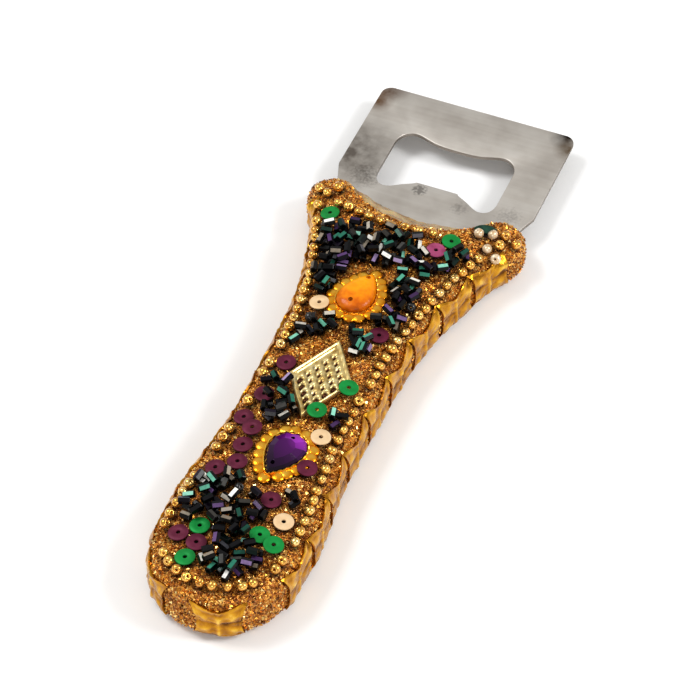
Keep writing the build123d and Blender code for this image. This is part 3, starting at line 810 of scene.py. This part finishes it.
# Painted light and shade: the violet is brighter round a lit spot, only on the flashing bevels, and near black
# elsewhere.
lit = violet_place @ Vector((violet_size[1] * -0.6, -violet_size[0] * 0.75, 2 * mm))
span = node(tree, "VectorMath", place, tuple(lit), outlet=1, operation="DISTANCE")
fade = node(tree, "MapRange", span, 0.0, 10 * mm, 1.0, 0.0)
sign = node(tree, "Attribute", outlet=2, attribute_name="flash")
fade = node(tree, "Math", fade, sign, operation="MULTIPLY")
tone = ramp(tree, fade, (0.0, linear(14, 4, 18)), (0.16, linear(40, 8, 48)), (0.45, linear(66, 12, 78)),
            (0.85, linear(150, 40, 174)))
for x, y in violet_holes:
    rim = near(tree, place, tuple(violet_place @ Vector((x, y, 1.9 * mm))), 0.7 * mm)
    tone = blend(tree, ramp(tree, rim, (0.25, (0, 0, 0)), (0.45, (1, 1, 1))), tone, (*linear(150, 110, 170), 1))
tree.links.new(tone, shader.inputs["Base Color"])
cloud = node(tree, "TexNoise", place, None, 260.0, 1.0)
relief(tree, shader, cloud, 0.05 * mm)
finished("violet_drop", violet, violet_glass, "violet_crystal", "violet_gem", crease=8)


# Settings: stamped gilt foil under each stone, a ring of puffed scallops round a collar that is
# folded up against the glass.
def gilding(name, low, wall, crown, top):
    """Gilt foil in four tones from its creases to its crowns, painted shade in the creases and painted highlight on
    the crowns, with fine wrinkles.
    """
    finish, tree, shader = new_finish(name, Metallic=0.9, Roughness=0.26)
    high = node(tree, "Attribute", outlet=2, attribute_name="rise")
    cloud = node(tree, "TexNoise", object_place(tree), None, 420.0, 4.0)
    cloud = node(tree, "MapRange", cloud, 0.3, 0.7, -0.2, 0.2)
    high = node(tree, "Math", high, cloud, operation="ADD", use_clamp=True)
    tree.links.new(ramp(tree, high, (0.0, linear(*low)), (0.3, linear(*wall)), (0.6, linear(*crown)),
                        (1.0, linear(*top))), shader.inputs["Base Color"])
    relief(tree, shader, node(tree, "TexNoise", object_place(tree), None, 1500.0, 3.0), 0.06 * mm)
    return finish


mount_gilt = gilding("gilt_foil", (84, 36, 2), (200, 112, 10), (240, 156, 24), (255, 204, 76))

petal_count = 17
for name, place, size in (("amber", amber_place, amber_size), ("violet", violet_place, violet_size)):
    stone = pear(2 * size[1], 2 * size[0], 80)
    foot = -0.5 * mm
    tray = stepped(grown(stone, 0.9 * mm), [(1.0, foot), (1.0, foot + 0.42 * mm)])
    lengths = [(b - a).length for a, b in zip(stone, stone[1:] + stone[:1])]
    row = grown(stone, 1.05 * mm)
    for i in range(petal_count):
        target, walked, at = sum(lengths) * i / petal_count, 0.0, 0
        while walked + lengths[at] < target:
            walked += lengths[at]
            at += 1
        spot = row[at]
        out = (spot - stone[at]).normalized()
        swell = Matrix.Translation(spot + Vector((0, 0, foot + 0.35 * mm))) @ out.to_track_quat("X", "Z").to_matrix().to_4x4()
        bmesh.ops.create_uvsphere(tray, u_segments=12, v_segments=8, radius=1.0 * mm,
                                  matrix=swell @ Matrix.Diagonal((1.40, 1.38, 0.46, 1)))
    collar = [(grown(stone, 0.10 * mm), 0.25), (grown(stone, 0.16 * mm), 0.95), (grown(stone, 0.36 * mm), 1.0),
              (grown(stone, 0.55 * mm), 0.35)]
    rings = []
    for ring_points, height in collar:
        rings.append([tray.verts.new((p.x, p.y, (height + (0.16 * math.cos(i * 1.9) if height > 0.9 else 0)) * mm
                                      + foot)) for i, p in enumerate(ring_points)])
    for inner, outer in zip(rings, rings[1:] + rings[:1]):
        for i in range(len(inner)):
            j = (i + 1) % len(inner)
            tray.faces.new((inner[i], inner[j], outer[j], outer[i]))
    bmesh.ops.recalc_face_normals(tray, faces=tray.faces)
    # Height above the foot, which the gilt paints from shade in the creases to highlight on the crowns.
    rise = tray.verts.layers.float.new("rise")
    for vert in tray.verts:
        vert[rise] = min(1, max(0, (vert.co.z - foot - 0.25 * mm) / (0.7 * mm)))
    tray.transform(place)
    finished(name + "_mount_foil", tray, mount_gilt, "gilt_foil", name + "_gem_setting", crease=60)


# Lozenge: pale embossed foil over a card, a lattice of small bumps and pits inside a rolled border.
lozenge_centre, lozenge_axes, lozenge_size = solids("lozenge_plate")[0]
lozenge_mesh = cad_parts["lozenge_plate"].data
lozenge_up = upward(lozenge_axes[2])
far = max((v.co - lozenge_centre for v in lozenge_mesh.vertices), key=lambda p: p.y)
side = max((v.co - lozenge_centre for v in lozenge_mesh.vertices), key=lambda p: p.x)
far -= lozenge_up * far.dot(lozenge_up)
side -= lozenge_up * side.dot(lozenge_up)


def pressed(s, t):
    """Height of the embossing in millimetres and how brown it is painted, across the two edge directions: painted
    shade in the pits and on one side of each bump.
    """
    edge = 1 - max(abs(s), abs(t))
    height = 0.34 * math.exp(-((edge - 0.06) / 0.05) ** 2)
    if t > max(abs(s), 0.6):
        height += 0.34 * math.exp(-((edge - 0.19) / 0.035) ** 2)
    brown = 0.0
    for i in range(5):
        for j in range(5):
            u, v = -0.66 + 0.34 * i, -0.66 + 0.30 * j
            bump = math.exp(-(((s - u) / 0.13) ** 2 + ((t - v - 0.03) / 0.10) ** 2))
            big = i == 0 or j == 0
            pit = math.exp(-(((s - u + 0.06) ** 2 + (t - v + 0.13) ** 2) / (0.115 if big else 0.085) ** 2) ** 2)
            # A painted shade crescent beside each bump; it adds no height.
            side_shade = math.exp(-(((s - u + 0.17) / 0.07) ** 2 + ((t - v) / 0.14) ** 2))
            height += 0.34 * bump - (0.6 if big else 0.3) * pit
            brown = max(brown, pit if big else 0.8 * pit, 0.45 * side_shade)
    return height, brown


lozenge = bmesh.new()
bmesh.ops.create_grid(lozenge, x_segments=72, y_segments=72, size=1)
shade_layer = lozenge.verts.layers.float.new("brown")
for vert in lozenge.verts:
    s, t = vert.co.x, vert.co.y
    height, vert[shade_layer] = pressed(s, t)
    spot = (far * (s + t) + side * (s - t)) / 2 * 1.05
    vert.co = lozenge_centre + spot + lozenge_up * (0.30 + height) * mm
skirt = bmesh.ops.extrude_edge_only(lozenge, edges=[e for e in lozenge.edges if e.is_boundary])["geom"]
for vert in [g for g in skirt if isinstance(g, bmesh.types.BMVert)]:
    vert.co -= lozenge_up * ((vert.co - lozenge_centre).dot(lozenge_up) + 0.55 * mm)
bmesh.ops.holes_fill(lozenge, edges=[e for e in lozenge.edges if e.is_boundary])
bmesh.ops.recalc_face_normals(lozenge, faces=lozenge.faces)

champagne, tree, shader = new_finish("champagne_foil", Metallic=0.8, Roughness=0.3)
# Painted shade: darker brown in the pits and on one side of each bump.
pit_and_side_shade = node(tree, "Attribute", outlet=2, attribute_name="brown")
cloud = node(tree, "TexNoise", object_place(tree), None, 600.0, 3.0)
tone = ramp(tree, cloud, (0.3, linear(196, 160, 88)), (0.5, linear(228, 202, 134)), (0.7, linear(244, 226, 168)))
pit_and_side_shade = ramp(tree, pit_and_side_shade, (0.15, (0, 0, 0)), (0.4, (0.55, 0.55, 0.55)), (0.65, (1, 1, 1)))
tree.links.new(blend(tree, pit_and_side_shade, tone, (*linear(66, 32, 10), 1)), shader.inputs["Base Color"])
finished("lozenge_foil", lozenge, champagne, "champagne_foil", "lozenge_plate")


# Foil butterflies: thin gilt foil stamped with spread wings, pressed round the side wall, wing tips
# folded up over the edge of the top.
wing_foot, wing_waist, wing_top = 0.9, 4.9, 9.9
columns, rows = 44, 34


def wing_top_at(x):
    """Height of the upper edge over the middle line, out along the wing."""
    x = abs(x)
    if x < 1.0:
        return 8.5 + 0.1 * x
    if x < 2.2:
        return 8.6 + 0.5 * (x - 1.0)
    return 9.2 + 0.40 * (x - 2.2)


def wing_half(z):
    """Half width of the wings at a height."""
    reach = wing_waist - wing_foot if z < wing_waist else wing_top - wing_waist
    return 4.45 + 0.95 * ((z - wing_waist) / reach) ** 2


def stamped(x, z, u, v):
    """Height of the stamping in millimetres."""
    a = abs(x)
    height = 0.48 * math.exp(-(x / 0.45) ** 2) * (1 if 1.5 < z < 7 else 0.4)
    height += 0.45 * math.exp(-((a - 3.0) / 1.5) ** 2 - ((z - 7.3 - 0.25 * (a - 3)) / 1.35) ** 2)
    height += 0.40 * math.exp(-((a - 2.7) / 1.6) ** 2 - ((z - 2.8) / 1.3) ** 2)
    height -= 0.34 * math.exp(-((z - 4.9 - 0.12 * a) / 0.3) ** 2) * min(1, a / 1.0)
    spread = math.atan2(z - 5.0, a + 0.2)
    height += 0.07 * math.cos(13 * spread) * min(1, math.hypot(a, z - 5.0) / 3)
    height += 0.20 * math.exp(-((abs(x) - 0.35 - 0.45 * (z - 6.4)) / 0.22) ** 2) * (1 if z > 6.4 else 0)
    if abs(u) > 0.9 or v > 0.93 or v < 0.05:
        height += 0.16
    return height


def foil(spot, out, hands):
    """One butterfly as a closed sheet lying on the lac, with how high each point stands."""
    along = Vector((-out.y, out.x, 0))
    drift = Vector((hands.uniform(0, 99), hands.uniform(0, 99), 0))
    upper, lower, heights = [], [], []
    for j in range(rows + 1):
        for i in range(columns + 1):
            u, v = 2 * i / columns - 1, j / rows
            z = wing_foot + v * (wing_top_at(u * 5.15) - wing_foot)
            x = u * wing_half(z)
            fold = max(0, z - 7.0) * 0.45
            wall = spot + along * x * mm + out * (0.4 - fold) * mm + Vector((0, 0, z * mm))
            ground, normal = coat_tree.find_nearest(wall)[:2]
            height = stamped(x, z, u, v)
            height += 0.34 * noise.noise(Vector((x, z, 0)) * 0.6 + drift)
            height += 0.10 * noise.noise(Vector((x, z, 0)) * 1.9 + drift)
            heights.append(height)
            upper.append(ground + normal * (0.45 + 0.62 * height) * mm)
            lower.append(ground - normal * 0.1 * mm)
    return upper, lower, heights


def foils(name, hands):
    """All the butterflies of a CAD node as one bmesh."""
    group = bmesh.new()
    layer = group.verts.layers.float.new("rise")
    for centre, axes, sizes in solids(name):
        ground, normal = coat_tree.find_nearest(Vector((centre.x, centre.y, 5 * mm)))[:2]
        out = Vector((normal.x, normal.y, 0)).normalized()
        spot = Vector((ground.x, ground.y, 0)) + out * skin_inset
        upper, lower, heights = foil(spot, out, hands)
        tops = [group.verts.new(p) for p in upper]
        feet = [group.verts.new(p) for p in lower]
        # How high the stamping stands, which the gilt paints from shade in the hollows to highlight on the raised
        # parts.
        for vert, height in zip(tops, heights):
            vert[layer] = min(1, max(0, 0.3 + height * 0.8))
        width = columns + 1
        for j in range(rows):
            for i in range(columns):
                a, b, c, d = j * width + i, j * width + i + 1, (j + 1) * width + i + 1, (j + 1) * width + i
                group.faces.new((tops[a], tops[b], tops[c], tops[d]))
                group.faces.new((feet[d], feet[c], feet[b], feet[a]))
        border = [i for i in range(width)] + [j * width + columns for j in range(1, rows + 1)]
        border += [rows * width + i for i in range(columns - 1, -1, -1)]
        border += [j * width for j in range(rows - 1, 0, -1)]
        for a, b in zip(border, border[1:] + border[:1]):
            group.faces.new((tops[b], tops[a], feet[a], feet[b]))
    bmesh.ops.recalc_face_normals(group, faces=group.faces)
    return group


wing_gilt = gilding("wing_gilt_foil", (96, 54, 8), (170, 110, 20), (210, 150, 34), (250, 212, 94))
for order, name in enumerate(sheet_nodes[3:]):
    finished(name.replace("butterflies", "foil_wings"), foils(name, random.Random(80 + order)), wing_gilt,
             "gilt_foil", name, crease=70)
